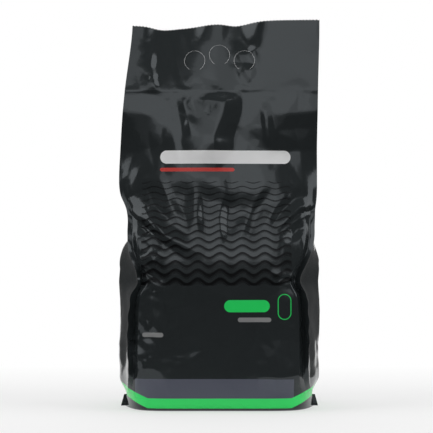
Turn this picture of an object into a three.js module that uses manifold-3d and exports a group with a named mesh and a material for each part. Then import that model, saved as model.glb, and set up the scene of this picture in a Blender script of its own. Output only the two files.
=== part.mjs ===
// A standing bag of granular aquarium soil, modelled as one sealed solid.
// The film is a laminate tube with a gusset folded into each side. A seal across the bottom lies under
// the bag, and its ends stand out as ears. A second seal closes the tube under a flat header, which has
// three die-cut finger tabs, still in place, and a pinked top edge.
// Millimetres, +Z up. The front faces -Y, and the origin is at the middle of the base.
import * as THREE from "three";
import { mergeVertices } from "three/addons/utils/BufferGeometryUtils.js";
import Module from "manifold-3d";

// The film tube
const FLAT_WIDTH = 270; // fold to fold, laid flat
const GUSSET_FOLD = 58; // how far a gusset folds in above the soil
const FILLED_DEPTH = 150; // front to back through the soil
const HEADER_THICKNESS = 1.2; // the film layers, pressed together

// Heights above the floor
const BELLY_HEIGHT = 95; // the fullest part
const WAIST_HEIGHT = 172; // where the corner folds buckle inwards
const SHOULDER_HEIGHT = 268; // the top of the soil, where the film folds flat
const SEAL_HEIGHT = 428;
const BAG_HEIGHT = 529; // along the film: the header leans, so its edge is lower

// The bottom
const BASE_EDGE = 8; // rounding of the front and back edges of the base
const CORNER_RISE = 45; // height in which the bottom corners open out from the seal
const SEAL_END = 4; // half the thickness of the corner where it meets the bottom seal
const EAR_HEIGHT = 18;
const EAR_REACH = 7; // how far an ear stands out past the corner of the base
const EAR_THICKNESS = 2.4;
const FIN_WIDTH = 14; // the bottom seal, folded flat under the base
const FIN_GROOVE = 1; // the line around it

// How far the corner folds stand in from the flat tube's own edges, up each side
const LEFT_EDGE = { base: 8, belly: 15, waist: 28, notch: 11, shoulder: -1, seal: 6, top: 15 };
const RIGHT_EDGE = { base: 8, belly: 18, waist: 30, notch: 7, shoulder: 3, seal: 1, top: -2 };
const SIDE_INSET = 2; // the same for the gussets, which the soil pushes out past the corner folds
const CORNER_FIN = 4; // the corner folds stay sharp, and stand out as narrow fins beside the soil
const CORNER_GROOVE = 8; // a fin's inner side runs down to a groove in the panel
const GROOVE_INSET = 7; // the groove's bottom, from the corner fold

// The header
const TAB_RADIUS = 14;
const TAB_SPACING = 34;
const TAB_DROP = 8; // the outer tabs sit lower than the middle one
const TAB_SLIT = 0.8;
const TAB_HINGE = THREE.MathUtils.degToRad(60); // the uncut part of each tab, at its foot
const TOOTH_PITCH = 4.5;
const TOOTH_DEPTH = 1.4;
const SEAM_WIDTH = 12; // the lap seam down the back
const SEAM_RISE = 0.8;

// The mesh
const PANEL_COLUMNS = 32;
const GUSSET_COLUMNS = 8;
const ROW_STEP = 10;
const ARC_STEPS = 14;

const HALF_WIDTH = FLAT_WIDTH / 2;
const HALF_DEPTH = FILLED_DEPTH / 2;
const HALF_FILM = HEADER_THICKNESS / 2;
const HEADER_HEIGHT = BAG_HEIGHT - SEAL_HEIGHT;
const ROOM = 40; // what a cutting tool reaches past the film

const wasm = await Module();
wasm.setup();

// Curves

const between = (low, high, share) => low + (high - low) * share;

function smooth(low, high, at) {
  const share = THREE.MathUtils.clamp((at - low) / (high - low), 0, 1);
  return share * share * (3 - 2 * share);
}

// A smooth curve through [position, value] knots, level past both ends.
function curveThrough(...knots) {
  const last = knots.length - 1;
  const slope = (i) =>
    i <= 0 || i >= last ? 0 : (knots[i + 1][1] - knots[i - 1][1]) / (knots[i + 1][0] - knots[i - 1][0]);
  return (at) => {
    if (at <= knots[0][0]) return knots[0][1];
    if (at >= knots[last][0]) return knots[last][1];
    const i = knots.findIndex((knot) => knot[0] > at) - 1;
    const span = knots[i + 1][0] - knots[i][0];
    const s = (at - knots[i][0]) / span;
    const rise = knots[i + 1][1] - knots[i][1];
    const start = slope(i) * span;
    const end = slope(i + 1) * span;
    const square = 3 * rise - 2 * start - end;
    const cube = start + end - 2 * rise;
    return knots[i][1] + s * (start + s * (square + s * cube));
  };
}

// The bag's own section, by height

const waistToShoulder = (share) => between(WAIST_HEIGHT, SHOULDER_HEIGHT, share);
const shoulderToSeal = (share) => between(SHOULDER_HEIGHT, SEAL_HEIGHT, share);

function edgeCurve(edge) {
  return curveThrough(
    [0, edge.base],
    [CORNER_RISE, edge.belly],
    [BELLY_HEIGHT, edge.belly],
    [waistToShoulder(-0.2), between(edge.belly, edge.waist, 0.3)],
    [WAIST_HEIGHT, edge.waist],
    [waistToShoulder(0.45), between(edge.waist, edge.notch, 0.8)],
    [waistToShoulder(0.95), edge.notch],
    [shoulderToSeal(0.12), between(edge.notch, edge.shoulder, 0.8)],
    [shoulderToSeal(0.25), edge.shoulder],
    [shoulderToSeal(0.6), between(edge.shoulder, edge.seal, 0.3)],
    [SEAL_HEIGHT, edge.seal],
    [BAG_HEIGHT, edge.top],
  );
}
const leftInset = edgeCurve(LEFT_EDGE);
const rightInset = edgeCurve(RIGHT_EDGE);

// Half the depth of the bag at its corner folds, and at the middle of its panels.
const cornerDepth = curveThrough(
  [0, SEAL_END],
  [CORNER_RISE * 0.25, between(SEAL_END, HALF_DEPTH, 0.1)],
  [CORNER_RISE * 0.6, between(SEAL_END, HALF_DEPTH, 0.5)],
  [CORNER_RISE, HALF_DEPTH * 0.84],
  [BELLY_HEIGHT, HALF_DEPTH * 0.9],
  [WAIST_HEIGHT, HALF_DEPTH * 0.84],
  [waistToShoulder(0.5), HALF_DEPTH * 0.64],
  [SHOULDER_HEIGHT, HALF_DEPTH * 0.33],
  [shoulderToSeal(0.25), HALF_DEPTH * 0.17],
  [shoulderToSeal(0.5), HALF_DEPTH * 0.1],
  [shoulderToSeal(0.8), HALF_DEPTH * 0.05],
  [SEAL_HEIGHT, HALF_FILM],
);
const fullDepth = curveThrough(
  [0, HALF_DEPTH * 0.98],
  [BELLY_HEIGHT, HALF_DEPTH],
  [WAIST_HEIGHT, HALF_DEPTH * 0.985],
  [waistToShoulder(0.29), HALF_DEPTH * 0.94],
  [waistToShoulder(0.6), HALF_DEPTH * 0.8],
  [SHOULDER_HEIGHT, HALF_DEPTH * 0.58],
  [shoulderToSeal(0.07), HALF_DEPTH * 0.53],
  [shoulderToSeal(0.22), HALF_DEPTH * 0.49],
  [shoulderToSeal(0.5), HALF_DEPTH * 0.32],
  [shoulderToSeal(0.8), HALF_DEPTH * 0.12],
  [SEAL_HEIGHT, HALF_FILM],
);

function middleDepth(z) {
  const under = Math.max(0, BASE_EDGE - z);
  return fullDepth(z) - BASE_EDGE + Math.sqrt(BASE_EDGE * BASE_EDGE - under * under);
}

// How square the panels' corners are: a power of the distance from the panel's middle.
const panelPower = curveThrough(
  [0, 9],
  [CORNER_RISE, 7],
  [BELLY_HEIGHT, 6],
  [SHOULDER_HEIGHT, 3],
  [SEAL_HEIGHT, 2],
);

// How far the middle of a gusset folds in behind the corner folds, above the soil.
const gussetFold = curveThrough(
  [waistToShoulder(0.4), 0],
  [SHOULDER_HEIGHT, GUSSET_FOLD * 0.42],
  [shoulderToSeal(0.25), GUSSET_FOLD * 0.75],
  [shoulderToSeal(0.55), GUSSET_FOLD],
  [shoulderToSeal(0.78), GUSSET_FOLD * 0.95],
  [shoulderToSeal(0.93), GUSSET_FOLD * 0.3],
  [SEAL_HEIGHT, 0],
);

// How far the middle of a gusset stands out past a corner fold, which is inset from the flat edge.
function gussetReach(inset, z) {
  const opened = smooth(CORNER_RISE * 0.2, CORNER_RISE * 0.9, z);
  const folded = smooth(waistToShoulder(0.25), waistToShoulder(0.75), z);
  return between((inset - SIDE_INSET) * opened, -gussetFold(z), folded);
}

// How far the corner folds stand out as fins.
const cornerFin = curveThrough(
  [CORNER_RISE * 0.4, 0],
  [CORNER_RISE * 1.2, CORNER_FIN],
  [WAIST_HEIGHT, CORNER_FIN],
  [waistToShoulder(0.55), CORNER_FIN * 0.6],
  [SHOULDER_HEIGHT, CORNER_FIN * 0.3],
  [shoulderToSeal(0.25), 0],
);

// Folds in the film

// A spot on a panel: its share of the way from the middle to the side, and its level, which is 0 at
// the floor, 1 at the waist, 2 at the shoulder, 3 at the seal and 4 at the top edge.
const LEVELS = [0, WAIST_HEIGHT, SHOULDER_HEIGHT, SEAL_HEIGHT, BAG_HEIGHT];
function spot([share, level]) {
  const below = Math.min(Math.floor(level), LEVELS.length - 2);
  return [share * HALF_WIDTH, between(LEVELS[below], LEVELS[below + 1], level - below)];
}

// A fold along a broken line of spots: a ridge, or a valley where its rise is below zero. It dies away at
// both ends. Its flanks reach one width to the left of the line and another to the right, looking along it.
const FOLD_END = 0.3; // the share of a fold's length in which it dies away
function fold(rise, left, right, ...spots) {
  const path = spots.map(spot);
  const lengths = path.slice(1).map(([x, z], i) => Math.hypot(x - path[i][0], z - path[i][1]));
  const whole = lengths.reduce((total, length) => total + length, 0);
  return (x, z) => {
    let nearest = Infinity;
    let side = 1;
    let place = 0;
    let before = 0;
    for (let i = 0; i < lengths.length; i++) {
      const [x0, z0] = path[i];
      const [runX, runZ] = [path[i + 1][0] - x0, path[i + 1][1] - z0];
      const along = ((x - x0) * runX + (z - z0) * runZ) / (runX * runX + runZ * runZ);
      const share = THREE.MathUtils.clamp(along, 0, 1);
      const [offX, offZ] = [x - x0 - share * runX, z - z0 - share * runZ];
      const distance = Math.hypot(offX, offZ);
      if (distance < nearest) {
        nearest = distance;
        side = offX * runZ - offZ * runX;
        place = before + share * lengths[i];
      }
      before += lengths[i];
    }
    const lasting = Math.min(1, Math.min(place, whole - place) / (FOLD_END * whole));
    return rise * lasting * Math.max(0, 1 - nearest / (side > 0 ? right : left));
  };
}

// The folds of the front panel. A shoulder fold runs in from each notch, where the flat top of the bag meets
// the soil, and shorter ones tuck in at the waist.
const FRONT_FOLDS = [
  fold(2, 30, 22, [-0.24, 2.22], [0.13, 2.17], [0.36, 2.28]),
  fold(5, 16, 14, [-0.98, 2.01], [-0.68, 1.86], [-0.53, 1.63], [-0.34, 1.49], [-0.15, 1.34]),
  fold(-3, 10, 10, [-0.98, 1.85], [-0.73, 1.71], [-0.59, 1.52], [-0.37, 1.31]),
  fold(5, 14, 14, [1.01, 2.04], [0.79, 2], [0.7, 1.88], [0.59, 1.71]),
  fold(-3, 12, 12, [1.01, 1.83], [0.77, 1.71], [0.64, 1.52]),
  fold(3.5, 10, 12, [-0.87, 1.08], [-0.63, 0.98], [-0.47, 0.9]),
  fold(3.5, 12, 10, [0.83, 0.99], [0.65, 1.04], [0.49, 1.12]),
  fold(3, 15, 17, [0.47, 2.24], [0.21, 1.38]),
];

// The folds of the empty film under the seal, which both panels follow.
const TOP_FOLDS = [
  fold(6, 30, 66, [-1.26, 2.85], [-0.79, 2.82], [-0.67, 2.76], [-0.54, 2.69], [-0.22, 2.52]),
  fold(7.5, 26, 44, [0.1, 3.22], [0.03, 2.82], [-0.06, 2.61], [-0.04, 2.3]),
  fold(6, 28, 56, [0.22, 2.85], [0.49, 2.82], [0.74, 2.81], [1.26, 2.85]),
  fold(3.5, 10, 12, [-0.37, 3.01], [-0.34, 2.87], [-0.32, 2.77], [-0.27, 2.59]),
  fold(2, 22, 26, [-1.04, 2.41], [-0.74, 2.37], [-0.41, 2.44]),
];

// The folds of the header.
const HEADER_FOLDS = [
  fold(-3, 9, 10, [-0.59, 4.1], [-0.46, 3.46], [-0.33, 2.9]),
  fold(4, 10, 9, [-0.68, 3.61], [-0.7, 3.28], [-0.64, 2.99]),
];

// Upright pleats of uneven width, where the film is gathered between the flat top and the soil.
const PLEAT_PITCH = 36;
const PLEAT_RISE = 1.4;
const PLEAT_DRIFT = 7;
function pleats(x, z) {
  const starts = smooth(waistToShoulder(0.25), waistToShoulder(0.8), z);
  const ends = smooth(shoulderToSeal(0.15), shoulderToSeal(0.5), z);
  const drift = PLEAT_DRIFT * (Math.sin((1.6 * x) / PLEAT_PITCH) + 0.4 * Math.sin((2 * z) / PLEAT_PITCH));
  return PLEAT_RISE * starts * (1 - ends) * Math.cos((2 * Math.PI * (x + drift)) / PLEAT_PITCH);
}

// The step from the soil to the flat film lies higher or lower across the panel: the height that a spot takes
// its depth from.
const STEP_DRIFT = 9;
function stepHeight(x, z) {
  const share = x / HALF_WIDTH;
  const drift = STEP_DRIFT * (Math.sin(3.65 * share + 0.6) + 0.45 * Math.sin(9.6 * share));
  const starts = smooth(waistToShoulder(0.2), SHOULDER_HEIGHT, z);
  const ends = smooth(shoulderToSeal(0.4), shoulderToSeal(0.9), z);
  return z + drift * starts * (1 - ends);
}

// The header leans back by these angles, by the share of the way from the middle to the side at its top edge.
// It leans most along a slanting bend on the left, and least on the right.
const BEND_SLANT = 12; // how far the bend runs sideways up the header
const leanAngle = curveThrough(
  [-0.96, 28],
  [-0.76, 25],
  [-0.59, 30.5],
  [-0.4, 26.5],
  [-0.24, 23.5],
  [-0.12, 22.1],
  [0.03, 21],
  [0.18, 22.5],
  [0.43, 15.5],
  [0.55, 12],
  [0.74, 11],
  [1.01, 10.5],
);
const leanAt = (x) => THREE.MathUtils.degToRad(leanAngle(x / HALF_WIDTH));
function headerLean(x, z) {
  const share = Math.max(0, (z - SEAL_HEIGHT) / HEADER_HEIGHT);
  const slant = BEND_SLANT * (1 - share) * (1 - smooth(HALF_WIDTH * -0.3, HALF_WIDTH * 0.45, x));
  return HEADER_HEIGHT * Math.sin(leanAt(x + slant)) * share;
}

// Where the film's middle surface lies at the flat top, and each panel's own folds below it.
const sum = (folds, x, z) => folds.reduce((total, at) => total + at(x, z), 0);
const inEmptyFilm = (z) => smooth(SHOULDER_HEIGHT, shoulderToSeal(0.45), z);
const SEAL_BAND = 11; // the folds fade out over this height, above and below the seal
const inHeader = (z) => smooth(SEAL_HEIGHT, SEAL_HEIGHT + SEAL_BAND, z);
const underSeal = (z) => 1 - smooth(SEAL_HEIGHT - SEAL_BAND, SEAL_HEIGHT, z);
const offEdge = (u) => 1 - Math.pow(Math.abs(2 * u - 1), 8);

function middleY(x, z) {
  const top = sum(TOP_FOLDS, x, z) * inEmptyFilm(z) * underSeal(z);
  return headerLean(x, z) - top - sum(HEADER_FOLDS, x, z) * inHeader(z);
}

// The groove along a corner fold, for a spot on a panel so far from it.
function groove(fromCorner, z) {
  const share = 1 - Math.abs(fromCorner / GROOVE_INSET - 1);
  return (CORNER_GROOVE * Math.max(0, share) * cornerFin(z)) / CORNER_FIN;
}

// A point of the front panel (side -1) or the back panel (side 1), at share u of the way from left to right.
function panelPoint(u, z, side) {
  const left = leftInset(z) - HALF_WIDTH;
  const right = HALF_WIDTH - rightInset(z);
  const x = between(left, right, u);
  const swell = 1 - Math.pow(Math.abs(2 * u - 1), panelPower(z));
  const full = between(cornerDepth(z), middleDepth(stepHeight(x, z)), swell);
  const depth = full - groove(Math.min(x - left, right - x), z);
  const front = side < 0 ? sum(FRONT_FOLDS, x, z) : 0;
  const folds = (front + pleats(x, z)) * offEdge(u) * (1 - inEmptyFilm(z));
  return new THREE.Vector3(x, middleY(x, z) + side * (depth + folds), z);
}

// A point of a gusset, at share t of the way from the corner fold start to the corner fold end.
function gussetPoint(start, end, t, z, reach) {
  const point = start.clone().lerp(end, t);
  const folded = 1 - Math.abs(2 * t - 1);
  const bulged = 1 - Math.abs(2 * t - 1) ** 1.2;
  const form = between(bulged, folded, smooth(waistToShoulder(0.4), waistToShoulder(0.9), z));
  point.x += reach * form;
  return point;
}

// The points across the front panel, from left to right.
const COLUMNS = Array.from({ length: PANEL_COLUMNS + 1 }, (_, i) => i / PANEL_COLUMNS);
const frontPoints = (z) => COLUMNS.map((u) => panelPoint(u, z, -1));

// The points across the back panel, from right to left. The lap seam that joins the film into a tube stands
// out from the middle of it.
const SEAM_SHARE = SEAM_WIDTH / 2 / FLAT_WIDTH;
const SEAM = [0.5 + SEAM_SHARE, 0.5, 0.5 - SEAM_SHARE];
const RIGHT_OF_SEAM = COLUMNS.filter((u) => u > SEAM[0]).reverse();
const LEFT_OF_SEAM = COLUMNS.filter((u) => u < SEAM[2]).reverse();
function backPoints(z) {
  const flat = (u) => panelPoint(u, z, 1);
  const raised = (u) => flat(u).add(new THREE.Vector3(0, SEAM_RISE, 0));
  const right = [...RIGHT_OF_SEAM, SEAM[0]].map(flat);
  const left = [SEAM[2], ...LEFT_OF_SEAM].map(flat);
  return [...right, ...SEAM.map(raised), ...left];
}

// The film's outline at one height: along the front, round the right gusset, back, and round the left one.
function sectionAt(z) {
  const front = frontPoints(z);
  const back = backPoints(z);
  const [rightFront, leftBack] = [front.at(-1), back.at(-1)];
  const right = [];
  const left = [];
  const rightReach = gussetReach(rightInset(z), z);
  const leftReach = -gussetReach(leftInset(z), z);
  for (let i = 1; i < GUSSET_COLUMNS; i++) {
    right.push(gussetPoint(rightFront, back[0], i / GUSSET_COLUMNS, z, rightReach));
    left.push(gussetPoint(leftBack, front[0], i / GUSSET_COLUMNS, z, leftReach));
  }
  const fin = new THREE.Vector2(0.5, 0.85).multiplyScalar(cornerFin(z));
  front[0].add(new THREE.Vector3(-fin.x, -fin.y, 0));
  rightFront.add(new THREE.Vector3(fin.x, -fin.y, 0));
  back[0].add(new THREE.Vector3(fin.x, fin.y, 0));
  leftBack.add(new THREE.Vector3(-fin.x, fin.y, 0));
  return [...front, ...right, ...back, ...left];
}

// Solids

// A closed solid through a stack of sections with as many points each.
function loft(sections) {
  const columns = sections[0].length;
  const points = sections.flat();
  const triangles = [];
  const at = (row, column) => row * columns + (column % columns);
  for (let row = 0; row + 1 < sections.length; row++) {
    for (let column = 0; column < columns; column++) {
      const [a, b] = [at(row, column), at(row, column + 1)];
      const [c, d] = [at(row + 1, column + 1), at(row + 1, column)];
      triangles.push(a, b, c, a, c, d);
    }
  }
  // Each end is closed by a strip between the two halves of its section.
  const top = sections.length - 1;
  for (let i = 0; i + 1 < columns - 1 - i; i++) {
    const j = columns - 1 - i;
    triangles.push(at(0, i), at(0, j), at(0, i + 1));
    triangles.push(at(top, i), at(top, i + 1), at(top, j));
    if (i + 1 === j - 1) continue;
    triangles.push(at(0, i + 1), at(0, j), at(0, j - 1));
    triangles.push(at(top, i + 1), at(top, j - 1), at(top, j));
  }
  return new wasm.Manifold(
    new wasm.Mesh({
      numProp: 3,
      vertProperties: new Float32Array(points.flatMap((p) => p.toArray())),
      triVerts: new Uint32Array(triangles),
    }),
  );
}

function solidOf(geometry) {
  geometry.deleteAttribute("normal");
  geometry.deleteAttribute("uv");
  const merged = mergeVertices(geometry);
  return new wasm.Manifold(
    new wasm.Mesh({
      numProp: 3,
      vertProperties: merged.attributes.position.array,
      triVerts: new Uint32Array(merged.index.array),
    }),
  );
}

// A flat shape, drawn in x and z, with its thickness along y and centred on middle.
function plate(shape, thickness, middle = 0) {
  const settings = { depth: thickness, bevelEnabled: false, curveSegments: ARC_STEPS };
  const geometry = new THREE.ExtrudeGeometry(shape, settings);
  geometry.rotateX(Math.PI / 2).translate(0, middle + thickness / 2, 0);
  return solidOf(geometry);
}

// The heights of the film's rows, closer together at the rounded edge of the base.
function rowHeights() {
  const heights = [0, BASE_EDGE * 0.1, BASE_EDGE * 0.35, BASE_EDGE * 0.7];
  const rows = Math.ceil((BAG_HEIGHT - BASE_EDGE * 1.3) / ROW_STEP);
  for (let row = 0; row <= rows; row++) {
    heights.push(between(BASE_EDGE * 1.3, BAG_HEIGHT + TOOTH_DEPTH, row / rows));
  }
  return heights;
}

// The end of the bottom seal, an upright flap in the fold of the gusset.
function ear(side) {
  const tip = side * (HALF_WIDTH - LEFT_EDGE.base + EAR_REACH);
  const root = side * (HALF_WIDTH - LEFT_EDGE.base - EAR_HEIGHT);
  const outline = [
    [root, 0],
    [tip, 0],
    [tip - side * EAR_REACH * 0.6, EAR_HEIGHT],
    [root, EAR_HEIGHT],
  ];
  const points = outline.map(([x, z]) => new THREE.Vector2(x, z));
  if (side < 0) points.reverse();
  return plate(new THREE.Shape(points), EAR_THICKNESS);
}

// The line round the folded bottom seal, pressed into the base.
function finGroove() {
  const reach = HALF_WIDTH - LEFT_EDGE.base - EAR_HEIGHT;
  const bar = (y) =>
    solidOf(new THREE.BoxGeometry(2 * reach, FIN_GROOVE, 2 * FIN_GROOVE).translate(0, y, 0));
  return bar(0).add(bar(FIN_WIDTH));
}

// A slit round each finger tab, all but its hinge.
function tabSlit(x, z) {
  const start = TAB_HINGE / 2 - Math.PI / 2;
  const end = (3 * Math.PI) / 2 - TAB_HINGE / 2;
  const shape = new THREE.Shape();
  shape.absarc(x, z, TAB_RADIUS + TAB_SLIT / 2, start, end, false);
  shape.absarc(x, z, TAB_RADIUS - TAB_SLIT / 2, end, start, true);
  return plate(shape, FILLED_DEPTH);
}

// Everything above the pinked edge. The edge is lower where the header leans: the film is as long there.
function pinkedCut() {
  const shape = new THREE.Shape();
  const teeth = Math.ceil((FLAT_WIDTH + ROOM) / TOOTH_PITCH);
  const left = -(teeth * TOOTH_PITCH) / 2;
  shape.moveTo(left, BAG_HEIGHT + ROOM);
  for (let half = 0; half <= 2 * teeth; half++) {
    const x = left + (half * TOOTH_PITCH) / 2;
    const edge = SEAL_HEIGHT + HEADER_HEIGHT * Math.cos(leanAt(x));
    shape.lineTo(x, edge - (half % 2 ? TOOTH_DEPTH : 0));
  }
  shape.lineTo(-left, BAG_HEIGHT + ROOM);
  return plate(shape, FILLED_DEPTH + ROOM);
}

// The bag

function soilBag() {
  let bag = loft(rowHeights().map(sectionAt));
  bag = bag.add(ear(-1)).add(ear(1));
  bag = bag.subtract(finGroove()).subtract(pinkedCut());
  const tabHeight = between(SEAL_HEIGHT, BAG_HEIGHT, 0.5);
  for (const place of [-1, 0, 1]) {
    bag = bag.subtract(tabSlit(place * TAB_SPACING, tabHeight - Math.abs(place) * TAB_DROP));
  }
  const mesh = bag.getMesh();
  const geometry = new THREE.BufferGeometry();
  geometry.setAttribute("position", new THREE.BufferAttribute(mesh.vertProperties, 3));
  geometry.setIndex(new THREE.BufferAttribute(mesh.triVerts, 1));
  geometry.computeBoundingBox();
  const middle = geometry.boundingBox.getCenter(new THREE.Vector3());
  geometry.translate(-middle.x, -middle.y, -geometry.boundingBox.min.z);
  geometry.computeVertexNormals();
  return geometry;
}

const film = new THREE.MeshStandardMaterial({ color: 0x1f2224, roughness: 0.25, metalness: 0 });
const bag = new THREE.Mesh(soilBag(), film);
bag.name = "soil_bag";

const part = new THREE.Group();
part.add(bag);

export default part;
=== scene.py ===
# A standing bag of aquarium soil, dressed over its imported solid.
# The solid is loaded as a fixed frame, in metres.
import math

import bmesh
import bpy
import numpy as np
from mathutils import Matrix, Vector
from mathutils.geometry import delaunay_2d_cdt


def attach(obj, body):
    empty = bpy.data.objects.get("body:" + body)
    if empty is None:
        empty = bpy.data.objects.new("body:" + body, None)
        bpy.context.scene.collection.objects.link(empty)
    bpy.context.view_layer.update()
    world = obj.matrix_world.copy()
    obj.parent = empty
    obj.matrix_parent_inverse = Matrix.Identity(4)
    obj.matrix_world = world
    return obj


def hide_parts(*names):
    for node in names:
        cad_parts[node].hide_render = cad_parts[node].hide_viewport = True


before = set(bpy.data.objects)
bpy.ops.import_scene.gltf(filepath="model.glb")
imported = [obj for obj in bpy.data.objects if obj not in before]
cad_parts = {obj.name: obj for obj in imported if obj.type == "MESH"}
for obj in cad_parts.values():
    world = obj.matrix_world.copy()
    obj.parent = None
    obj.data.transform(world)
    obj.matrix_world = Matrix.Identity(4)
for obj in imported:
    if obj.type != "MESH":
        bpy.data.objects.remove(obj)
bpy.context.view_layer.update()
scene = bpy.context.scene
scene.view_settings.view_transform = "Standard"

# The camera stands level with the middle of the bag, some two metres in front of it.
# Its view is as wide as the photograph's, and the bag stands a little right of the middle.
CAMERA_PLACE = (-0.0046, -2.275, 0.257)
CAMERA_LENS = 139
camera = bpy.data.objects.new("camera", bpy.data.cameras.new("camera"))
camera.data.sensor_width = 36
camera.data.lens = CAMERA_LENS
camera.location = CAMERA_PLACE
camera.rotation_euler = (math.pi / 2, 0, 0)
scene.collection.objects.link(camera)
scene.camera = camera

# The film tube: one printed laminate, folded into two panels and two gussets and joined by a lap seam.
# The soil fills it up to the shoulder. Above that it is folded flat, up to the seal under the header.
# It is lofted through level outlines, in millimetres, with the front towards -Y.
FLAT_WIDTH = 270  # fold to fold, laid flat
HALF_WIDTH = FLAT_WIDTH / 2
HALF_DEPTH = 75  # half the bag's depth through the soil
HALF_FILM = 0.6  # half the layers of film, pressed together
GUSSET_FOLD = 58  # how far a gusset folds in above the soil
SIDE_INSET = -0.5  # the gussets' middles, from the flat tube's edges, where the soil pushes them out
BELLY_HEIGHT = 95  # the fullest part
WAIST_HEIGHT = 172  # where the corner folds buckle inwards
SHOULDER_HEIGHT = 268  # the top of the soil
SEAL_HEIGHT = 428
BAG_HEIGHT = 529  # along the film: the header leans, so its edge is lower
HEADER_HEIGHT = BAG_HEIGHT - SEAL_HEIGHT
BASE_EDGE = 8  # rounding of the front and back edges of the base
CORNER_RISE = 45  # height in which the bottom corners open out from the seal
SEAL_END = 4  # half the thickness of a corner where it meets the bottom seal
TOOTH_DEPTH = 1.4  # of the pinked top edge
TO_ORIGIN = np.array([-0.5, -0.4, 0])  # from the tube's middle to the middle of the whole bag's box

# How far the corner folds stand in from the flat tube's own edges, up each side.
LEFT_EDGE = {"base": 8, "belly": 15, "waist": 28, "notch": 11, "shoulder": -1, "seal": 6, "top": 15}
RIGHT_EDGE = {"base": 8, "belly": 18, "waist": 30, "notch": 7, "shoulder": 3, "seal": 1, "top": -2}


def between(low, high, share):
    return low + (high - low) * share


def smooth(low, high, at):
    share = np.clip((at - low) / (high - low), 0, 1)
    return share * share * (3 - 2 * share)


def span(at, start, full, fade, end):
    """0 before the start, 1 from full to fade, and 0 past the end."""
    return smooth(start, full, at) * (1 - smooth(fade, end, at))


def curve_through(*knots):
    """A smooth curve through (position, value) knots, level past both ends."""
    at, value = (np.array(side, float) for side in zip(*knots))
    slope = np.zeros(len(knots))
    slope[1:-1] = (value[2:] - value[:-2]) / (at[2:] - at[:-2])

    def curve(place):
        place = np.clip(place, at[0], at[-1])
        i = np.clip(np.searchsorted(at, place, side="right") - 1, 0, len(knots) - 2)
        length = at[i + 1] - at[i]
        s = (place - at[i]) / length
        rise = value[i + 1] - value[i]
        start = slope[i] * length
        end = slope[i + 1] * length
        return value[i] + s * start + s**2 * (3 * rise - 2 * start - end) + s**3 * (start + end - 2 * rise)

    return curve


def soil_height(share):
    return between(WAIST_HEIGHT, SHOULDER_HEIGHT, share)


def empty_height(share):
    return between(SHOULDER_HEIGHT, SEAL_HEIGHT, share)


def edge_curve(edge):
    return curve_through(
        (0, edge["base"]),
        (CORNER_RISE, edge["belly"]),
        (BELLY_HEIGHT, edge["belly"]),
        (soil_height(-0.2), between(edge["belly"], edge["waist"], 0.3)),
        (WAIST_HEIGHT, edge["waist"]),
        (soil_height(0.45), between(edge["waist"], edge["notch"], 0.8)),
        (soil_height(0.95), edge["notch"]),
        (empty_height(0.12), between(edge["notch"], edge["shoulder"], 0.8)),
        (empty_height(0.25), edge["shoulder"]),
        (empty_height(0.6), between(edge["shoulder"], edge["seal"], 0.3)),
        (SEAL_HEIGHT, edge["seal"]),
        (BAG_HEIGHT, edge["top"]),
    )


left_inset = edge_curve(LEFT_EDGE)
right_inset = edge_curve(RIGHT_EDGE)

# Half the depth of the bag at its corner folds, and at the middle of its panels.
corner_depth = curve_through(
    (0, SEAL_END),
    (CORNER_RISE * 0.25, between(SEAL_END, HALF_DEPTH, 0.1)),
    (CORNER_RISE * 0.6, between(SEAL_END, HALF_DEPTH, 0.5)),
    (CORNER_RISE, HALF_DEPTH * 0.84),
    (BELLY_HEIGHT, HALF_DEPTH * 0.9),
    (WAIST_HEIGHT, HALF_DEPTH * 0.84),
    (soil_height(0.5), HALF_DEPTH * 0.64),
    (SHOULDER_HEIGHT, HALF_DEPTH * 0.33),
    (empty_height(0.25), HALF_DEPTH * 0.17),
    (empty_height(0.5), HALF_DEPTH * 0.1),
    (empty_height(0.8), HALF_DEPTH * 0.05),
    (SEAL_HEIGHT, HALF_FILM),
)
full_depth = curve_through(
    (0, HALF_DEPTH * 0.98),
    (BELLY_HEIGHT, HALF_DEPTH),
    (WAIST_HEIGHT, HALF_DEPTH * 0.985),
    (soil_height(0.29), HALF_DEPTH * 0.94),
    (soil_height(0.6), HALF_DEPTH * 0.8),
    (SHOULDER_HEIGHT, HALF_DEPTH * 0.58),
    (empty_height(0.07), HALF_DEPTH * 0.53),
    (empty_height(0.22), HALF_DEPTH * 0.49),
    (empty_height(0.5), HALF_DEPTH * 0.32),
    (empty_height(0.8), HALF_DEPTH * 0.12),
    (empty_height(0.97), HALF_DEPTH * 0.025),
    (SEAL_HEIGHT, HALF_FILM),
)


def middle_depth(z):
    under = np.maximum(0, BASE_EDGE - z)
    return full_depth(z) - BASE_EDGE + np.sqrt(BASE_EDGE**2 - under**2)


# How square the panels' corners are: a power of the distance from the panel's middle.
panel_power = curve_through(
    (0, 9),
    (CORNER_RISE, 7),
    (BELLY_HEIGHT, 6),
    (SHOULDER_HEIGHT, 3),
    (SEAL_HEIGHT, 2),
)

# How far the middle of a gusset folds in behind the corner folds, above the soil.
gusset_fold = curve_through(
    (soil_height(0.4), 0),
    (SHOULDER_HEIGHT, GUSSET_FOLD * 0.42),
    (empty_height(0.25), GUSSET_FOLD * 0.75),
    (empty_height(0.55), GUSSET_FOLD),
    (empty_height(0.78), GUSSET_FOLD * 0.95),
    (empty_height(0.93), GUSSET_FOLD * 0.3),
    (SEAL_HEIGHT, 0),
)


def gusset_reach(inset, z):
    """How far the middle of a gusset stands out past a corner fold with this inset."""
    opened = smooth(CORNER_RISE * 0.2, CORNER_RISE * 0.9, z)
    folded = smooth(soil_height(0.25), soil_height(0.75), z)
    return between((inset - SIDE_INSET) * opened, -gusset_fold(z), folded)


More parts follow.
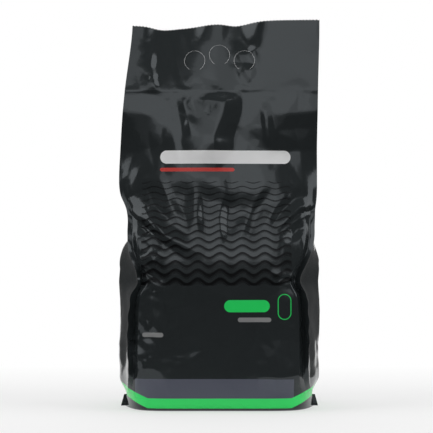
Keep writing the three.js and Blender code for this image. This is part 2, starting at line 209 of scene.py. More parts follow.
# The header leans back by these angles, by the place across it. It leans most along a bend on the left.
BEND_SLANT = 25  # how far the bend runs sideways up the header
lean_angle = curve_through(
    (-130, 23),
    (-104, 24),
    (-80, 29.5),
    (-54, 28),
    (-34, 25.5),
    (-14, 21.5),
    (0, 20.5),
    (24, 23.5),
    (56, 14.5),
    (74, 12),
    (100, 11),
    (137, 10.5),
)


def header_lean(x, z):
    share = np.clip((z - SEAL_HEIGHT) / HEADER_HEIGHT, 0, None)
    slant = BEND_SLANT * (1 - share) * (1 - smooth(-40, 60, x))
    return HEADER_HEIGHT * np.sin(np.radians(lean_angle(x + slant))) * share


# The corner folds of the tube stay sharp, because the film was creased there before it was filled.
# They stand out as narrow fins beside the soil, and each fin's inner side runs down to a groove in the panel.
CORNER_FIN = 2.5
FIN_FLANK = 3  # the width over which a fin rises
FIN_WAY = np.array([0.5, 0.85, 0])  # the way it points, out to the side and away from the bag's middle
CORNER_GROOVE = 8  # depth
GROOVE_INSET = 6  # the groove's bottom, from the corner fold
corner_fin = curve_through(
    (CORNER_RISE * 0.4, 0),
    (CORNER_RISE * 1.2, CORNER_FIN),
    (WAIST_HEIGHT, CORNER_FIN),
    (soil_height(0.55), CORNER_FIN * 0.6),
    (SHOULDER_HEIGHT, CORNER_FIN * 0.3),
    (empty_height(0.25), 0),
)


def groove(from_corner, z):
    share = np.clip(1 - np.abs(from_corner / GROOVE_INSET - 1), 0, 1)
    return CORNER_GROOVE * share * corner_fin(z) / CORNER_FIN


def pinch(points, corner, z, out_x, out_y):
    """Draws the film out to a kinked fin along a corner fold, on both of its sides."""
    from_corner = np.hypot(points[..., 0] - corner[:, None, 0], points[..., 1] - corner[:, None, 1])
    kinks = 1 + 0.35 * np.sin(z / 7) * np.sin(z / 11 + out_x) + 0.25 * np.sin(z / 3.7 + out_x)
    fin = (corner_fin(z) * kinks)[:, None] * np.exp(-from_corner / FIN_FLANK)
    return points + fin[..., None] * FIN_WAY * np.array([out_x, out_y, 0])


# The folds of the film, pressed in as the bag was filled and handled. Each is a ridge, or with a rise below
# zero a valley, along a broken line of (x, z) points, given with its two flank widths and its rise.
# The first width is on the left of the line and the second on its right, looking along it.
FOLD_END = 0.3  # the share of a fold's length in which it dies away
TOP_FOLDS = [
    ([(-170, 404), (-107, 400), (-91, 390), (-73, 379), (-30, 352)], 30, 66, 3),
    ([(-170, 346), (-110, 344), (-60, 354)], 50, 50, -6),
    ([(14, 450), (4, 400), (-8, 366), (-5, 316)], 26, 44, 7),
    ([(30, 404), (66, 400), (100, 398), (170, 404)], 28, 56, 2.5),
    ([(36, 352), (76, 344), (110, 346), (170, 350)], 50, 50, -6),
    ([(60, 412), (65, 372), (70, 336)], 10, 8, 2.5),
    ([(-50, 430), (-46, 407), (-43, 392), (-36, 362)], 10, 12, 3),
]
HEADER_FOLDS = [
    ([(-80, 540), (-62, 474), (-44, 412)], 22, 9, -1.6),
    ([(-92, 500), (-95, 462), (-84, 414)], 9, 20, 3.9),
    ([(20, 500), (36, 456), (58, 424)], 12, 14, 2),
]
SHOULDER_FOLDS = [
    ([(-33, 303), (17, 295), (48, 313)], 30, 22, 2),
    ([(-132, 270), (-92, 255), (-72, 232), (-46, 219), (-20, 205)], 16, 14, 5),
    ([(-132, 254), (-98, 240), (-80, 222), (-50, 202)], 10, 10, -3),
    ([(136, 274), (107, 268), (94, 256), (80, 240)], 14, 14, 5),
    ([(136, 252), (104, 240), (86, 222)], 12, 12, -3),
]
WAIST_FOLDS = [
    ([(-118, 180), (-85, 168), (-64, 154)], 10, 12, 3.5),
    ([(-112, 200), (-95, 182), (-82, 164)], 8, 8, 2.5),
    ([(112, 170), (88, 176), (66, 184)], 12, 10, 3.5),
]
SLANTED_PLEATS = [
    ([(-84, 316), (-63, 270), (-46, 236)], 9, 20, 2.8),
    ([(-33, 316), (-32, 262), (-29, 230)], 9, 22, 2.8),
    ([(4, 290), (0, 255), (3, 216)], 10, 18, 2.6),
    ([(66, 310), (44, 271), (22, 216)], 10, 24, 3.2),
    ([(108, 304), (76, 271), (54, 236)], 9, 20, 2.8),
]
LOW_FOLDS = [
    ([(50, 46), (84, 44), (134, 50)], 50, 18, 8.5),
    ([(-114, 134), (-106, 121), (-100, 104)], 7, 8, 1.8),
    ([(-114, 104), (-104, 94), (-88, 84)], 8, 7, 2),
    ([(-112, 166), (-98, 160), (-82, 166)], 8, 8, 1.8),
    ([(-114, 70), (-106, 62), (-96, 52)], 7, 7, 1.6),
]
FRONT_CREASES = [
    ([(-140, 276), (-104, 247), (-78, 226), (-50, 208)], 4, 4, -3.5),
    ([(144, 270), (108, 262), (94, 250), (78, 236)], 4, 4, -3.5),
    ([(-124, 172), (-98, 184), (-78, 168)], 4, 4, -3.5),
    ([(124, 162), (98, 174), (76, 168)], 4, 4, -3.5),
]
FRONT_FOLDS = [*SHOULDER_FOLDS, *WAIST_FOLDS, *SLANTED_PLEATS, *LOW_FOLDS, *FRONT_CREASES]


def fold(x, z, path, left, right, rise):
    nearest = np.full(x.shape, np.inf)
    side = np.ones(x.shape)
    along = np.zeros(x.shape)
    before = 0
    for (x0, z0), (x1, z1) in zip(path, path[1:]):
        run_x, run_z = x1 - x0, z1 - z0
        length = math.hypot(run_x, run_z)
        share = np.clip(((x - x0) * run_x + (z - z0) * run_z) / (run_x**2 + run_z**2), 0, 1)
        off_x, off_z = x - x0 - share * run_x, z - z0 - share * run_z
        distance = np.hypot(off_x, off_z)
        closer = distance < nearest
        nearest = np.where(closer, distance, nearest)
        side = np.where(closer, off_x * run_z - off_z * run_x, side)
        along = np.where(closer, before + share * length, along)
        before += length
    reach = np.where(side > 0, right, left)
    ends = np.minimum(along, before - along) / (FOLD_END * before)
    return rise * np.clip(ends, 0, 1) * np.clip(1 - nearest / reach, 0, 1)


def all_folds(folds, x, z):
    return sum(fold(x, z, *line) for line in folds)


def soften(heights, times):
    """Rounds the folds' edges by averaging each point with its neighbours."""
    for _ in range(times):
        padded = np.pad(heights, 1, mode="edge")
        beside = padded[1:-1, :-2] + padded[1:-1, 2:]
        heights = (4 * heights + padded[:-2, 1:-1] + padded[2:, 1:-1] + beside) / 8
    return heights


# Upright pleats of uneven width, where the film is gathered between the flat top and the soil.
PLEAT_PITCH = 36
PLEAT_RISE = 0.6


def pleats(x, z):
    gathered = span(z, soil_height(0.25), soil_height(0.8), empty_height(0.15), empty_height(0.5))
    drift = 7 * np.sin(x / 23) + 3 * np.sin(z / 17)
    return PLEAT_RISE * gathered * np.cos(2 * math.pi * (x + drift) / PLEAT_PITCH)


def step_height(x, z):
    """The height that a spot takes its depth from, as the step over the soil is uneven across the bag."""
    uneven = 9 * np.sin(x / 37 + 0.6) + 4 * np.sin(x / 14)
    return z + uneven * span(z, soil_height(0.2), SHOULDER_HEIGHT, empty_height(0.4), empty_height(0.9))


# The crumple of the film: flat facets that meet at straight creases, as on film that was crushed and pulled
# flat again. Each layer has a seed for its creases, the width and height of its facets, and their rise.
TOP_CRUMPLE = (5, 40, 46, 1.6)
HEADER_CRUMPLE = (6, 30, 34, 0.5)
SEAL_CRINKLES = (7, 9, 10, 0.6)
TAB_CRINKLES = (8, 12, 14, 1.25)
TOP_DENTS = (9, 22, 24, 0.6)
HEADER_DENTS = (10, 9, 24, 0.4)
CRUSHED_CRUMPLE = (11, 17, 20, 1.9)
FRONT_CRUMPLE = (12, 38, 44, 0.9)
CRUSHED_CRINKLES = (13, 8, 9, 0.5)
LOW_CRINKLES = (14, 12, 14, 1.1)
BACK_CRUMPLE = (15, 30, 36, 1.8)
LOW_CRUMPLE = (16, 22, 24, 1.9)
GUSSET_CRUMPLE = (17, 26, 32, 1.6)
GUSSET_CRINKLES = (18, 13, 17, 0.9)
CRUMPLE_WIDTH = 160  # the layers reach this far to either side, and past the bag's top and foot
CRUMPLE_FOOT = -20
CRUMPLE_TOP = 560


def facets(x, z, seed, wide, high, rise):
    chance = np.random.default_rng(seed)
    across = np.arange(-CRUMPLE_WIDTH, CRUMPLE_WIDTH + 1, wide)
    across, along = np.meshgrid(across, np.arange(CRUMPLE_FOOT, CRUMPLE_TOP + 1, high))
    across = across + chance.uniform(-0.45, 0.45, across.shape) * wide
    along = along + chance.uniform(-0.45, 0.45, along.shape) * high
    level = chance.uniform(-rise, rise, across.shape).ravel()
    points = [Vector(point) for point in np.stack([across.ravel(), along.ravel()], axis=-1).tolist()]
    triangles = delaunay_2d_cdt(points, [], [], 0, 0.001)[2]
    total = np.zeros(x.shape)
    for a, b, c in triangles:
        (ax, az), (bx, bz), (cx, cz) = points[a], points[b], points[c]
        area = (bx - ax) * (cz - az) - (cx - ax) * (bz - az)
        near_x = (x >= min(ax, bx, cx)) & (x <= max(ax, bx, cx))
        near = near_x & (z >= min(az, bz, cz)) & (z <= max(az, bz, cz))
        px, pz = x[near], z[near]
        to_b = ((px - ax) * (cz - az) - (cx - ax) * (pz - az)) / area
        to_c = ((bx - ax) * (pz - az) - (px - ax) * (bz - az)) / area
        inside = (to_b >= 0) & (to_c >= 0) & (to_b + to_c <= 1)
        facet = level[a] + to_b * (level[b] - level[a]) + to_c * (level[c] - level[a])
        total[near] = np.where(inside, facet, total[near])
    return total


# The panels and gussets, put together from these forms.
# Above the soil both panels follow the same film. Over the soil each has its own folds and crumple.
SEAM_WIDTH = 12  # the lap seam down the back
SEAM_RISE = 0.8


def in_empty_film(z):
    return smooth(SHOULDER_HEIGHT, empty_height(0.45), z)


def flat_film(x, z):
    """How far the film stands forward where it is folded flat, above the soil."""
    header = smooth(SEAL_HEIGHT - 6, SEAL_HEIGHT + 8, z)
    under_header = in_empty_film(z) * (1 - header)
    under_seal = in_empty_film(z) * (1 - smooth(SEAL_HEIGHT - 14, SEAL_HEIGHT, z))
    folds = all_folds(TOP_FOLDS, x, z) * under_seal + all_folds(HEADER_FOLDS, x, z) * header
    folds = folds + facets(x, z, *TOP_CRUMPLE) * under_header + facets(x, z, *HEADER_CRUMPLE) * header
    by_seal = (1 - smooth(6, 40, np.abs(z - SEAL_HEIGHT + 8))) * span(x, -85, -60, -20, 10)
    by_tab = span(z, SEAL_HEIGHT - 4, SEAL_HEIGHT + 8, BAG_HEIGHT - 45, BAG_HEIGHT - 20)
    by_tab = by_tab * span(x, 16, 30, 52, 74)
    by_left_fold = span(x, -116, -104, -84, -74) * header * (1 - smooth(476, 498, z))
    crinkles = facets(x, z, *SEAL_CRINKLES) * by_seal + facets(x, z, *TAB_CRINKLES) * by_tab
    crinkles = crinkles + facets(x, z, *HEADER_DENTS) * by_left_fold + facets(x, z, *TOP_DENTS) * under_header
    return soften(folds, 3) + crinkles


def front_film(x, z):
    """How far the front panel's folds and its finest crinkles stand out over the soil."""
    crushed_left = (1 - smooth(-105, -45, x)) * smooth(30, 80, z)
    crushed_right = smooth(50, 95, x) * smooth(30, 60, z)
    crushed = crushed_left + 0.35 * crushed_right
    low = 1 - smooth(150, 200, z)
    over_strip = low * smooth(45, 75, z)
    low_left = over_strip * (1 - smooth(-85, -30, x))
    folds = all_folds(FRONT_FOLDS, x, z) + facets(x, z, *FRONT_CRUMPLE)
    folds = folds + facets(x, z, *CRUSHED_CRUMPLE) * crushed * (1 + 0.7 * low)
    folds = folds + facets(x, z, *LOW_CRUMPLE) * over_strip + facets(x, z, *LOW_CRINKLES) * low_left
    return folds, -facets(x, z, *CRUSHED_CRINKLES) * crushed


def back_film(x, z):
    """How far the back panel's crumple and its lap seam stand out."""
    seam = SEAM_RISE * (1 - smooth(SEAM_WIDTH / 2 - 1, SEAM_WIDTH / 2 + 1.5, np.abs(x)))
    return facets(x, z, *BACK_CRUMPLE), seam


def panel(u, z, side):
    """Points of the front panel (side -1) or back panel (side 1), at shares u of the way to the right."""
    u, z = np.meshgrid(u, z)
    left = left_inset(z) - HALF_WIDTH
    right = HALF_WIDTH - right_inset(z)
    x = between(left, right, u)
    from_middle = np.abs(2 * u - 1)
    depth = between(corner_depth(z), middle_depth(step_height(x, z)), 1 - from_middle ** panel_power(z))
    depth = depth - groove(np.minimum(x - left, right - x), z)
    over_soil = 1 - in_empty_film(z)
    if side < 0:
        folds, fine = front_film(x, z)
        fine = fine * over_soil
    else:
        folds, fine = back_film(x, z)
    folds = (folds + pleats(x, z)) * (1 - from_middle**24) * over_soil
    y = header_lean(x, z) - flat_film(x, z) + side * (depth + soften(folds, 2) + fine)
    return np.stack([x, y, z], axis=-1)


def gusset(start, end, t, z, reach):
    """Points of a gusset with a crease down its middle, at shares t of the way between two corner folds."""
    t, z = np.meshgrid(t, z)
    points = between(start[:, None], end[:, None], t[..., None])
    from_middle = np.abs(2 * t - 1)
    crumple = facets(points[..., 1], z, *GUSSET_CRUMPLE) + facets(points[..., 1], z, *GUSSET_CRINKLES)
    crumple = crumple * (1 - from_middle**6) * (1 - smooth(soil_height(0.4), soil_height(0.9), z))
    points[..., 0] += reach[:, None] * (1 - from_middle) + soften(crumple, 2)
    return points


# The film's mesh. Its columns run along the front, round the right gusset, back, and round the left one.
# They are closer together at the corner folds, and its rows at the rounded edge of the base.
FRONT_COLUMNS = 222
BACK_COLUMNS = 74
GUSSET_COLUMNS = 24
ROWS = 270
base_rows = BASE_EDGE * np.array([0, 0.05, 0.15, 0.35, 0.6, 0.9])
heights = np.concatenate([base_rows, np.linspace(BASE_EDGE * 1.3, BAG_HEIGHT + TOOTH_DEPTH, ROWS)])
steps = np.linspace(0, 1, FRONT_COLUMNS + 1)
steps = 0.6 * steps + 0.2 * (1 - np.cos(math.pi * steps))
gusset_steps = (0.5 - 0.5 * np.cos(np.linspace(0, math.pi, GUSSET_COLUMNS + 1)))[1:-1]
front = panel(steps, heights, -1)
back = panel(steps[:: -FRONT_COLUMNS // BACK_COLUMNS], heights, 1)
right_reach = gusset_reach(right_inset(heights), heights)
left_reach = -gusset_reach(left_inset(heights), heights)
right_gusset = gusset(front[:, -1], back[:, 0], gusset_steps, heights, right_reach)
left_gusset = gusset(back[:, -1], front[:, 0], gusset_steps, heights, left_reach)
tube = np.concatenate([front, right_gusset, back, left_gusset], axis=1)
corner_folds = [(front[:, 0], -1, -1), (front[:, -1], 1, -1), (back[:, 0], 1, 1), (back[:, -1], -1, 1)]
tube = sum((pinch(tube, corner, heights, *out) - tube for corner, *out in corner_folds), tube)

rows, columns = tube.shape[:2]
grid = np.arange(rows * columns).reshape(rows, columns)
next_column = np.roll(grid, -1, axis=1)
quads = np.stack([grid[:-1], next_column[:-1], next_column[1:], grid[1:]], axis=-1).reshape(-1, 4)
foot, top = grid[0, ::-1], grid[-1]
film_mesh = bpy.data.meshes.new("film_bag")
film_points = ((tube + TO_ORIGIN) / 1000).reshape(-1, 3)
film_mesh.from_pydata(film_points.tolist(), [], [*quads.tolist(), foot.tolist(), top.tolist()])

# The film's own map: across and up the front panel in metres, with the rest of the tube a metre to the side.
BESIDE = 1
flat = tube[..., [0, 2]].reshape(-1, 2) / 1000
on_front = np.tile(np.arange(columns) <= FRONT_COLUMNS, rows)
quad_map = flat[quads]
quad_map[~on_front[quads].all(axis=1), :, 0] += BESIDE
end_map = flat[np.concatenate([foot, top])] + (BESIDE, 0)
film_map = film_mesh.uv_layers.new(name="film")
film_places = np.concatenate([quad_map.reshape(-1, 2), end_map])
film_map.uv.foreach_set("vector", film_places.astype(np.float32).ravel())
film_bag = bpy.data.objects.new("film_bag", film_mesh)
scene.collection.objects.link(film_bag)

# The cuts in the film: a pinked edge along the top of the header, and a slit round each of three finger tabs,
# all but its hinge. They were die-cut through both panels. Under the base, a line runs round the bottom seal,
# which is folded flat against it.
TOOTH_PITCH = 4.5
CUT_SIDE = 155  # the pinked cut reaches past both sides of the header, and over its top
CUT_TOP = 580
TAB_RADIUS = 14
TAB_PLACES = [(-34, 470.5), (0, 478.5), (34, 470.5)]
TAB_SLIT = 0.16
TAB_HINGE = math.radians(60)
TAB_STEPS = 48
EAR_HEIGHT = 18  # the seal's ends, which stand up as ears
SEAL_WIDTH = 14
SEAL_LINE = 1
SEAL_REACH = HALF_WIDTH - LEFT_EDGE["base"] - EAR_HEIGHT


def cut(piece, shape, near=-200, far=200):
    """Cuts a shape of (x, z) points out of the piece, from y = near to y = far."""
    cutter_mesh = bmesh.new()
    points = [cutter_mesh.verts.new((np.array([x, near, z]) + TO_ORIGIN) / 1000) for x, z in shape]
    face = cutter_mesh.faces.new(points)
    grown = bmesh.ops.extrude_face_region(cutter_mesh, geom=[face])
    moved = [item for item in grown["geom"] if isinstance(item, bmesh.types.BMVert)]
    bmesh.ops.translate(cutter_mesh, verts=moved, vec=(0, (far - near) / 1000, 0))
    bmesh.ops.recalc_face_normals(cutter_mesh, faces=cutter_mesh.faces)
    cutter = bpy.data.objects.new("cutter", bpy.data.meshes.new("cutter"))
    cutter_mesh.to_mesh(cutter.data)
    scene.collection.objects.link(cutter)
    taken = piece.modifiers.new("cut", "BOOLEAN")
    taken.operation = "DIFFERENCE"
    taken.solver = "MANIFOLD"
    taken.object = cutter
    cut_mesh = bpy.data.meshes.new_from_object(piece.evaluated_get(bpy.context.evaluated_depsgraph_get()))
    piece.modifiers.remove(taken)
    piece.data = cut_mesh
    bpy.data.objects.remove(cutter)


teeth = np.arange(-CUT_SIDE, CUT_SIDE + 0.1, TOOTH_PITCH / 2)
tooth_tops = SEAL_HEIGHT + HEADER_HEIGHT * np.cos(np.radians(lean_angle(teeth)))
tooth_tops -= TOOTH_DEPTH * (np.arange(len(teeth)) % 2)
cut(film_bag, [(-CUT_SIDE, CUT_TOP), *zip(teeth, tooth_tops), (CUT_SIDE, CUT_TOP)])
turn = np.linspace(TAB_HINGE / 2 - math.pi / 2, 1.5 * math.pi - TAB_HINGE / 2, TAB_STEPS)
for tab_x, tab_z in TAB_PLACES:
    outer, inner = TAB_RADIUS + TAB_SLIT / 2, TAB_RADIUS - TAB_SLIT / 2
    slit = [(tab_x + outer * math.cos(a), tab_z + outer * math.sin(a)) for a in turn]
    slit += [(tab_x + inner * math.cos(a), tab_z + inner * math.sin(a)) for a in turn[::-1]]
    cut(film_bag, slit)
seal_line = [(-SEAL_REACH, -SEAL_LINE), (SEAL_REACH, -SEAL_LINE)]
seal_line += [(SEAL_REACH, SEAL_LINE), (-SEAL_REACH, SEAL_LINE)]
for line_y in (0, SEAL_WIDTH):
    cut(film_bag, seal_line, line_y - SEAL_LINE / 2, line_y + SEAL_LINE / 2)
film_bag.data.polygons.foreach_set("use_smooth", np.ones(len(film_bag.data.polygons), bool))
film_bag.data.set_sharp_from_angle(angle=math.radians(40))


# The print: a glossy near-black laminate, with fields of ink under its outer layer.
# The inks are plain bars, lines and waves, placed on the film's own map in metres.
# A green stripe runs round the foot of the bag and climbs where the corners are folded up.
class Wire:
    """A value in a shader. Arithmetic on it adds Math nodes, and node() adds any other node."""

    def __init__(self, tree, socket=None):
        self.tree = tree
        self.socket = socket

    def node(self, kind, settings=None, output=0, **sockets):
        made = self.tree.nodes.new(kind)
        for name, value in (settings or {}).items():
            setattr(made, name, value)
        for name, value in sockets.items():
            target = made.inputs[int(name[1:])] if name[0] == "_" else made.inputs[name.replace("_", " ")]
            if isinstance(value, Wire):
                self.tree.links.new(value.socket, target)
            else:
                target.default_value = value
        return Wire(self.tree, made.outputs[output])

    def into(self, target):
        self.tree.links.new(self.socket, target)

    def math(self, operation, *values):
        sockets = {f"_{i}": value for i, value in enumerate(values)}
        return self.node("ShaderNodeMath", {"operation": operation}, **sockets)

    def __add__(self, other):
        return self.math("ADD", self, other)

    def __sub__(self, other):
        return self.math("SUBTRACT", self, other)

    def __rsub__(self, other):
        return self.math("SUBTRACT", other, self)

    def __mul__(self, other):
        return self.math("MULTIPLY", self, other)

    def __truediv__(self, other):
        return self.math("DIVIDE", self, other)

    def __rtruediv__(self, other):
        return self.math("DIVIDE", other, self)

    def __abs__(self):
        return self.math("ABSOLUTE", self)

    __radd__ = __add__
    __rmul__ = __mul__

    def least(self, other):
        return self.math("MINIMUM", self, other)

    def most(self, other):
        return self.math("MAXIMUM", self, other)

    def sine(self):
        return self.math("SINE", self)

    def root(self):
        return self.math("SQRT", self)

    def fraction(self):
        return self.math("FRACT", self)

    def above(self, edge, soft=0.0004):
        """1 where the value is over the edge, 0 where it is under, with a soft step between."""
        return ((self - edge) / soft + 0.5).most(0).least(1)

    def below(self, edge, soft=0.0004):
        return 1 - self.above(edge, soft)


FILM_BLACK = (0.0190, 0.0228, 0.0240, 1)
WAVE_BLACK = (0.006, 0.006, 0.0065, 1)
WHITE_INK = (0.90, 0.90, 0.90, 1)
RED_INK = (0.62, 0.030, 0.018, 1)
GREEN_INK = (0.02, 0.84, 0.15, 1)
LINE_GREEN = (0.02, 0.78, 0.14, 1)
STRIPE_GREEN = (0.02, 0.88, 0.15, 1)
GREY_INK = (0.28, 0.28, 0.28, 1)
SATIN_GREY = (0.090, 0.094, 0.128, 1)

film = bpy.data.materials.new("printed_film")
film.use_nodes = True
shader = film.node_tree.nodes["Principled BSDF"]
ink = Wire(film.node_tree)
film_place = ink.node("ShaderNodeUVMap", {"uv_map": "film"})
across = ink.node("ShaderNodeSeparateXYZ", None, 0, Vector=film_place)
up = ink.node("ShaderNodeSeparateXYZ", None, 1, Vector=film_place)


def printed(under, mask, colour):
    return ink.node("ShaderNodeMix", {"data_type": "RGBA"}, 2, _0=mask, _6=under, _7=colour)


def bar(x, z, half_width, half_height, corner):
    """A mask for a bar with round corners, about the middle x, z."""
    reach_x = (abs(across - x) - (half_width - corner)).most(0)
    reach_z = (abs(up - z) - (half_height - corner)).most(0)
    return (reach_x * reach_x + reach_z * reach_z).root().below(corner)


# Rows of wavy lines, which grow taller, thicker and further apart on their way down.
WAVE_LENGTH = 0.0295
WAVE_START = 1.4  # where in its swing a wave is at the panel's middle
WAVE_TOP = 0.304
WAVE_FOOT = 0.166
WAVE_LEFT = -0.104
WAVE_RIGHT = 0.095
TOP_SWING = 0.0016
SWING_GROWTH = 0.0022
TOP_ROWS = 18.2  # rows over the whole height, if all were as close as at the top
ROWS_LOST = 3.6
TOP_THICKNESS = 0.22  # a line's share of its row
THICKNESS_GROWTH = 0.5
WAVE_EDGE = 1.6  # how sharp a line's lower edge is
WAVE_METAL = 0.7  # the lines are printed in a dark metallic ink
drop = (WAVE_TOP - up) / (WAVE_TOP - WAVE_FOOT)
swing = (across * (2 * math.pi / WAVE_LENGTH) + WAVE_START).sine() * (drop * SWING_GROWTH + TOP_SWING)
down = (WAVE_TOP - up + swing) / (WAVE_TOP - WAVE_FOOT)
under_line = (down * TOP_ROWS - down * down * ROWS_LOST).fraction()
thickness = down * THICKNESS_GROWTH + TOP_THICKNESS
waves = ((1 - under_line / thickness).most(0) * WAVE_EDGE).least(1)
waves = waves * across.above(WAVE_LEFT) * across.below(WAVE_RIGHT) * up.above(WAVE_FOOT) * up.below(WAVE_TOP)

# The plain shapes, each with its ink.
capsule_line = bar(0.0855, 0.138, 0.009, 0.017, 0.009) - bar(0.0855, 0.138, 0.0078, 0.0158, 0.0078)
INKS = [
    (bar(0.008, 0.337, 0.088, 0.009, 0.009), WHITE_INK),
    (bar(-0.030, 0.320, 0.050, 0.0025, 0.0025), RED_INK),
    (bar(0.036, 0.139, 0.030, 0.008, 0.008), GREEN_INK),
    (bar(0.046, 0.121, 0.022, 0.003, 0.003), GREY_INK),
    (bar(-0.088, 0.101, 0.014, 0.003, 0.003), GREY_INK),
    (bar(-0.007, 0.030, 0.105, 0.013, 0.001), SATIN_GREY),
    (capsule_line, LINE_GREEN),
]
STRIPE_FOOT = 0.004
STRIPE_TOP = 0.0172
CLIMB_START = 0.095
CLIMB = 0.4
WAVE_MATT = 0.25  # inks are less glossy than the bare film
INK_MATT = 0.22
colour = printed(FILM_BLACK, waves, WAVE_BLACK)
matt = waves * WAVE_MATT
for mask, tint in INKS:
    colour = printed(colour, mask, tint)
    matt = matt.most(mask * INK_MATT)
around = across - across.above(BESIDE / 2)
stripe_height = up - (abs(around) - CLIMB_START).most(0) * CLIMB
colour = printed(colour, stripe_height.above(STRIPE_FOOT) * stripe_height.below(STRIPE_TOP), STRIPE_GREEN)

# The bare film's gloss, which its grain makes a little uneven.
FILM_ROUGHNESS = 0.08
GRAIN_ROUGHNESS = 0.06
space = {"noise_dimensions": "3D"}
object_place = ink.node("ShaderNodeTexCoord", output=3)
grain = ink.node("ShaderNodeTexNoise", space, Vector=object_place, Scale=90.0, Detail=3.0)
colour.into(shader.inputs["Base Color"])
(waves * WAVE_METAL).into(shader.inputs["Metallic"])
(grain * GRAIN_ROUGHNESS + FILM_ROUGHNESS + matt).into(shader.inputs["Roughness"])
ink.node("ShaderNodeBump", None, Strength=0.06, Distance=0.002, Height=grain).into(shader.inputs["Normal"])
shader.inputs["IOR"].default_value = 1.5
shader.inputs["Specular Tint"].default_value = (0.88, 0.95, 1.0, 1)


def wrap_in_film(piece):
    piece.data.materials.clear()
    piece.data.materials.append(film)
    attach(piece, "root")
    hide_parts("soil_bag")


wrap_in_film(film_bag)

# The ears: the two ends of the bottom seal, flat flaps of the same film that stand out of the folded corners.
# The sealing bar has pressed fine level ribs into them, and their tips are a little bent.
EAR_REACH = 7
EAR_THICKNESS = 1.6
EAR_COLUMNS = 25
EAR_ROWS = 13
RIB_PITCH = 2.2
RIB_RISE = 0.25
TIP_BEND = 1.5
TIP_SLANT = 0.6  # the share of its reach that an ear loses at the top
TIP_DROP = 0.15  # the share of its height that it loses at the tip
EAR_MAP = (BESIDE, 0.06)  # bare film, above the stripe on the film's map
for name, way in (("left_ear", -1), ("right_ear", 1)):
    root = way * (HALF_WIDTH - LEFT_EDGE["base"] - EAR_HEIGHT)
    tip = way * (HALF_WIDTH - LEFT_EDGE["base"] + EAR_REACH)
    share, rise = np.meshgrid(np.linspace(0, 1, EAR_COLUMNS), np.linspace(0, 1, EAR_ROWS))
    ear_x = between(root, tip - way * EAR_REACH * TIP_SLANT * rise, share)
    ear_z = EAR_HEIGHT * rise * (1 - TIP_DROP * share)
    ear_y = RIB_RISE * np.cos(2 * math.pi * ear_z / RIB_PITCH) + TIP_BEND * share**2 * np.sin(2 * rise + way)
    near_points = np.stack([ear_x, ear_y - EAR_THICKNESS / 2, ear_z], axis=-1)
    far_points = np.stack([ear_x, ear_y + EAR_THICKNESS / 2, ear_z], axis=-1)
    ear_points = ((np.stack([near_points, far_points]) + TO_ORIGIN) / 1000).reshape(-1, 3)
    spot = np.arange(EAR_ROWS * EAR_COLUMNS).reshape(EAR_ROWS, EAR_COLUMNS)
    near_face = np.stack([spot[:-1, :-1], spot[:-1, 1:], spot[1:, 1:], spot[1:, :-1]], axis=-1).reshape(-1, 4)
    far_face = near_face[:, ::-1] + spot.size
    rim = np.concatenate([spot[0, :-1], spot[:-1, -1], spot[-1, :0:-1], spot[:0:-1, 0]])
    next_rim = np.roll(rim, -1)
    rim_face = np.stack([next_rim, rim, rim + spot.size, next_rim + spot.size], axis=-1)
    ear_faces = np.concatenate([near_face, far_face, rim_face])[:, ::way]
    ear_mesh = bpy.data.meshes.new(name)
    ear_mesh.from_pydata(ear_points.tolist(), [], ear_faces.tolist())
    ear_map = ear_mesh.uv_layers.new(name="film")
    ear_places = ear_points[ear_faces.ravel()][:, [0, 2]] + EAR_MAP
    ear_map.uv.foreach_set("vector", ear_places.astype(np.float32).ravel())
    ear_mesh.polygons.foreach_set("use_smooth", np.ones(len(ear_mesh.polygons), bool))
    ear_mesh.set_sharp_from_angle(angle=math.radians(50))
    ear = bpy.data.objects.new(name, ear_mesh)
    scene.collection.objects.link(ear)
    wrap_in_film(ear)

# The paper under the bag: a white sheet, which lies flat and curves up well behind it. Sizes are in metres.
# It is as wide as the camera sees, and ends a little way in front of the bag.
# It is white to the eye at the back, and half lit by the lamps under the bag, where it takes the shadow.
PAPER_SPREAD = 0.135  # half its width, for each metre from the camera
PAPER_FRONT = -0.32
PAPER_FLAT = 2.0
BEND_START = 2.2
BEND_RADIUS = 0.8
PAPER_TOP = 1.8
FLAT_STEPS = 8
WHITE_START = 0.15
WHITE_RUN = 0.45
bend = np.linspace(0, math.pi / 2, 13)
flat_run = np.linspace(PAPER_FRONT, PAPER_FLAT, FLAT_STEPS)
depths = [*flat_run, *(BEND_START + BEND_RADIUS * np.sin(bend)), BEND_START + BEND_RADIUS]
rises = [*np.zeros(FLAT_STEPS), *(BEND_RADIUS - BEND_RADIUS * np.cos(bend)), PAPER_TOP]
sides = [PAPER_SPREAD * (y - CAMERA_PLACE[1]) for y in depths]
sheet = [(way * side, y, z) for side, y, z in zip(sides, depths, rises) for way in (-1, 1)]
floor_mesh = bpy.data.meshes.new("floor")
floor_mesh.from_pydata(sheet, [], [(2 * i, 2 * i + 1, 2 * i + 3, 2 * i + 2) for i in range(len(depths) - 1)])
floor_mesh.polygons.foreach_set("use_smooth", np.ones(len(floor_mesh.polygons), bool))
floor = bpy.data.objects.new("floor", floor_mesh)
scene.collection.objects.link(floor)

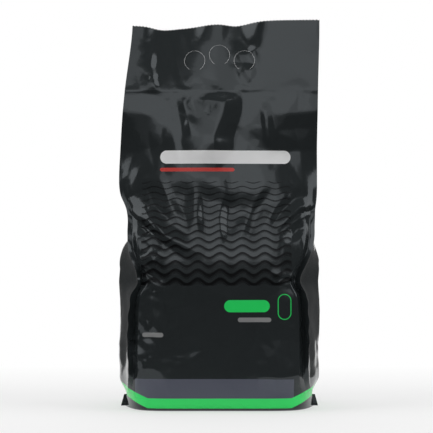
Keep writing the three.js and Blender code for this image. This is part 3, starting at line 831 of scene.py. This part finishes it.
paper = bpy.data.materials.new("floor_paper")
paper.use_nodes = True
paper_shader = paper.node_tree.nodes["Principled BSDF"]
paper_shader.inputs["Base Color"].default_value = (0.9, 0.9, 0.9, 1)
paper_shader.inputs["Roughness"].default_value = 0.9
glow = Wire(paper.node_tree)
RAYS = ("Is Camera Ray", "Is Glossy Ray", "Is Transmission Ray")
seen = sum(glow.node("ShaderNodeLightPath", output=ray) for ray in RAYS)
behind = glow.node("ShaderNodeSeparateXYZ", None, 1, Vector=glow.node("ShaderNodeNewGeometry"))
white = seen.least(1) * (((behind - WHITE_START) / WHITE_RUN).most(0).least(1) * 0.5 + 0.5)
lit_paper = Wire(paper.node_tree, paper_shader.outputs[0])
white_paper = glow.node("ShaderNodeEmission")
surface = glow.node("ShaderNodeMixShader", Fac=white, _1=lit_paper, _2=white_paper)
surface.into(paper.node_tree.nodes["Material Output"].inputs["Surface"])
floor_mesh.materials.append(paper)

# The studio light: a large soft lamp above the camera, brighter at its middle, and a dim one under it.
# A soft lamp stands on either side, one overhead and one behind, and the room is a dim grey.
# Each lamp has its place, what it points at, its width and height in metres, and its power in watts.
FRONT_AIM = (0, 0, 0.35)
SIDE_AIM = (0, 0, 0.25)
LAMPS = [
    ("front_rim", (0, -2.06, 1.85), FRONT_AIM, 2.5, 1.9, 2.7),
    ("front_lamp", (0, -2.02, 1.82), FRONT_AIM, 2.0, 1.43, 7.2),
    ("front_bulb", (-0.1, -1.98, 1.79), FRONT_AIM, 1.2, 0.8, 1.1),
    ("low_lamp", (0, -2.45, 0.9), (0, 0, 0.2), 1.9, 0.6, 0.5),
    ("left_lamp", (-2.02, -0.46, 1.87), SIDE_AIM, 2.1, 2.3, 27),
    ("right_lamp", (2.02, -0.46, 1.87), SIDE_AIM, 2.1, 2.3, 27),
    ("top_lamp", (0, 0.5, 2.6), (0, 0.1, 0), 1.6, 1.2, 18),
    ("back_lamp", (0, 2.02, 1.82), FRONT_AIM, 2.0, 1.43, 8),
]
for name, place, aim, wide, high, power in LAMPS:
    lamp = bpy.data.objects.new(name, bpy.data.lights.new(name, "AREA"))
    lamp.data.shape = "RECTANGLE"
    lamp.data.size = wide
    lamp.data.size_y = high
    lamp.data.energy = power
    lamp.location = place
    lamp.rotation_euler = (Vector(aim) - Vector(place)).to_track_quat("-Z", "Y").to_euler()
    scene.collection.objects.link(lamp)

ROOM_LEVEL = 0.12
CEILING_LEVEL = 0.05  # added straight overhead
studio = bpy.data.worlds.new("studio")
scene.world = studio
studio.use_nodes = True
room = studio.node_tree.nodes["Background"]
room.inputs["Color"].default_value = (1, 1, 1, 1)
sky = Wire(studio.node_tree)
overhead = sky.node("ShaderNodeSeparateXYZ", None, 2, Vector=sky.node("ShaderNodeTexCoord")).most(0)
(overhead * CEILING_LEVEL + ROOM_LEVEL).into(room.inputs["Strength"])
